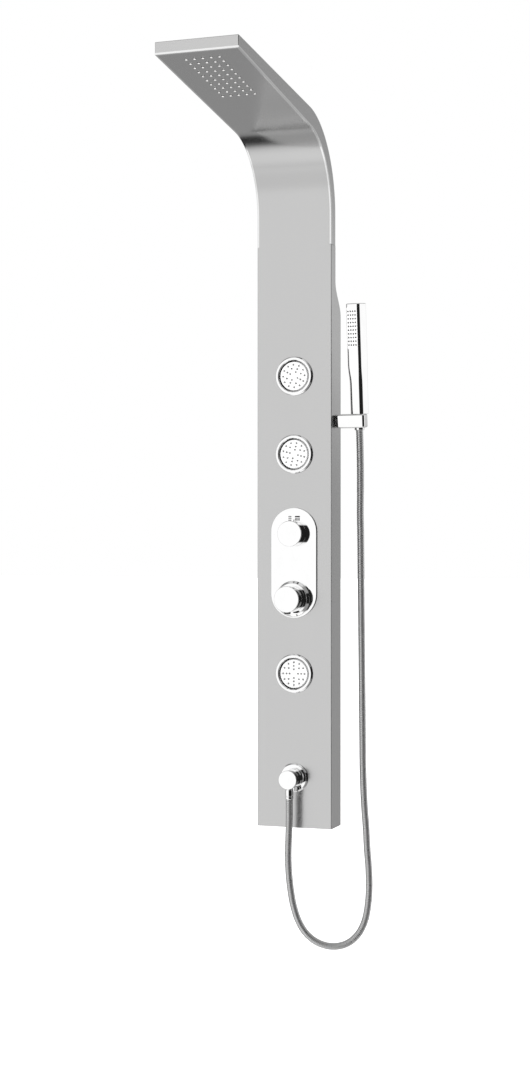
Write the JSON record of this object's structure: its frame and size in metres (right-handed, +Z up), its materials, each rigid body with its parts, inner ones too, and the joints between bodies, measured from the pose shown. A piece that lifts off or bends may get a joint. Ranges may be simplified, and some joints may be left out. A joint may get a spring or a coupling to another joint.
{
  "type": "rainfall shower column",
  "caption": "Wall-mounted brushed steel shower column curving forward into a rain head, with body jets, two controls, a hand shower in a side holder and a looped metal hose.",
  "frame": {"origin": "on the wall plane, midway between the two screw holes of the upper wall bracket", "axes": "+Z up, +Y into the wall, +X to the right as seen from the room, so the panel and the rain head face -Y"},
  "size_m": [0.231, 0.572, 1.6141],
  "materials": {
    "brushed_steel": "fine brushed stainless steel",
    "bracket_steel": "plain zinc-plated steel",
    "polished_steel": "mirror-polished stainless steel",
    "chrome": "bright chrome plate",
    "hose_metal": "interlocked metal hose, satin chrome",
    "brass": "machined brass",
    "white_plastic": "moulded, satin",
    "face_plastic": "moulded, pale grey",
    "black_plastic": "moulded, satin black",
    "silicone": "soft grey silicone",
    "gasket_rubber": "black rubber",
    "hose_rubber": "grey braided rubber hose"
  },
  "bodies": {
    "column": {"front_panel": "brushed_steel", "head_casing": "brushed_steel", "neck_back_plate": "brushed_steel", "bottom_cover": "brushed_steel", "upper_hanger": "bracket_steel", "lower_hanger": "bracket_steel", "upper_wall_bracket": "bracket_steel", "lower_wall_bracket": "bracket_steel", "jet_lock_nuts": "bracket_steel", "elbow_lock_nut": "bracket_steel", "holder_nut": "bracket_steel", "edge_trim": "polished_steel", "control_plate": "polished_steel", "upper_jet_bezel": "chrome", "middle_jet_bezel": "chrome", "lower_jet_bezel": "chrome", "temperature_collar": "chrome", "elbow_flange": "chrome", "elbow_body": "chrome", "hose_lower_fitting": "chrome", "holder_pivot": "chrome", "shower_hose": "hose_metal", "valve_body": "brass", "hot_inlet": "brass", "cold_inlet": "brass", "elbow_connector": "brass", "rain_chamber_base": "white_plastic", "rain_chamber_lid": "white_plastic", "upper_jet_housing": "white_plastic", "middle_jet_housing": "white_plastic", "lower_jet_housing": "white_plastic", "diverter_cartridge": "white_plastic", "thermostat_cartridge": "white_plastic", "holder_washer": "white_plastic", "rain_nozzles": "silicone", "jet_gaskets": "gasket_rubber", "control_plate_gasket": "gasket_rubber", "rain_supply_hose": "hose_rubber", "jet_feed_hoses": "hose_rubber", "elbow_supply_hose": "hose_rubber"},
    "upper_jet_ring": {"upper_jet_seat_ring": "black_plastic"},
    "upper_jet_turret": {"upper_jet_face": "face_plastic"},
    "middle_jet_ring": {"middle_jet_seat_ring": "black_plastic"},
    "middle_jet_turret": {"middle_jet_face": "face_plastic"},
    "lower_jet_ring": {"lower_jet_seat_ring": "black_plastic"},
    "lower_jet_turret": {"lower_jet_face": "face_plastic"},
    "diverter_knob": {"diverter_knob": "chrome", "diverter_spindle": "brass", "diverter_set_screw": "bracket_steel"},
    "temperature_knob": {"temperature_knob": "chrome", "temperature_spindle": "brass", "temperature_set_screw": "bracket_steel", "button_spring": "bracket_steel"},
    "safety_button": {"safety_button": "black_plastic"},
    "holder": {"holder_bar": "chrome"},
    "handset": {"handset_body": "chrome", "handset_spray_plate": "chrome", "handset_nozzles": "silicone", "handset_inlet": "brass", "hose_cone_nut": "chrome"}
  },
  "joints": [
    {"name": "upper_jet_turn", "type": "hinge", "parent": "column", "child": "upper_jet_ring", "pos_m": [0, -0.05, -0.062], "axis": [0, -1, 0], "continuous": true},
    {"name": "upper_jet_tilt", "type": "hinge", "parent": "upper_jet_ring", "child": "upper_jet_turret", "pos_m": [0, -0.05, -0.062], "axis": [1, 0, 0], "range_deg": [-12, 12]},
    {"name": "middle_jet_turn", "type": "hinge", "parent": "column", "child": "middle_jet_ring", "pos_m": [0, -0.05, -0.212], "axis": [0, -1, 0], "continuous": true},
    {"name": "middle_jet_tilt", "type": "hinge", "parent": "middle_jet_ring", "child": "middle_jet_turret", "pos_m": [0, -0.05, -0.212], "axis": [1, 0, 0], "range_deg": [-12, 12]},
    {"name": "lower_jet_turn", "type": "hinge", "parent": "column", "child": "lower_jet_ring", "pos_m": [0, -0.05, -0.634], "axis": [0, -1, 0], "continuous": true},
    {"name": "lower_jet_tilt", "type": "hinge", "parent": "lower_jet_ring", "child": "lower_jet_turret", "pos_m": [0, -0.05, -0.634], "axis": [1, 0, 0], "range_deg": [-12, 12]},
    {"name": "diverter_turn", "type": "hinge", "parent": "column", "child": "diverter_knob", "pos_m": [0, -0.08, -0.365], "axis": [0, -1, 0], "range_deg": [-90, 90]},
    {"name": "temperature_turn", "type": "hinge", "parent": "column", "child": "temperature_knob", "pos_m": [0, -0.09, -0.49], "axis": [0, -1, 0], "range_deg": [-180, 60]},
    {"name": "safety_button_press", "type": "slide", "parent": "temperature_knob", "child": "safety_button", "axis": [0, 0, 1], "range_m": [0, 0.002], "stiffness_N_per_m": 400, "deforming": ["button_spring"]},
    {"name": "holder_tilt", "type": "hinge", "parent": "column", "child": "holder", "pos_m": [0.119, -0.02188, -0.1481], "axis": [1, 0, 0], "range_deg": [-5, 20], "deforming": ["shower_hose"]},
    {"name": "handset_lift", "type": "slide", "parent": "holder", "child": "handset", "axis": [0, -0.1045, 0.9945], "range_m": [0, 0.06], "deforming": ["shower_hose"]}
  ]
}
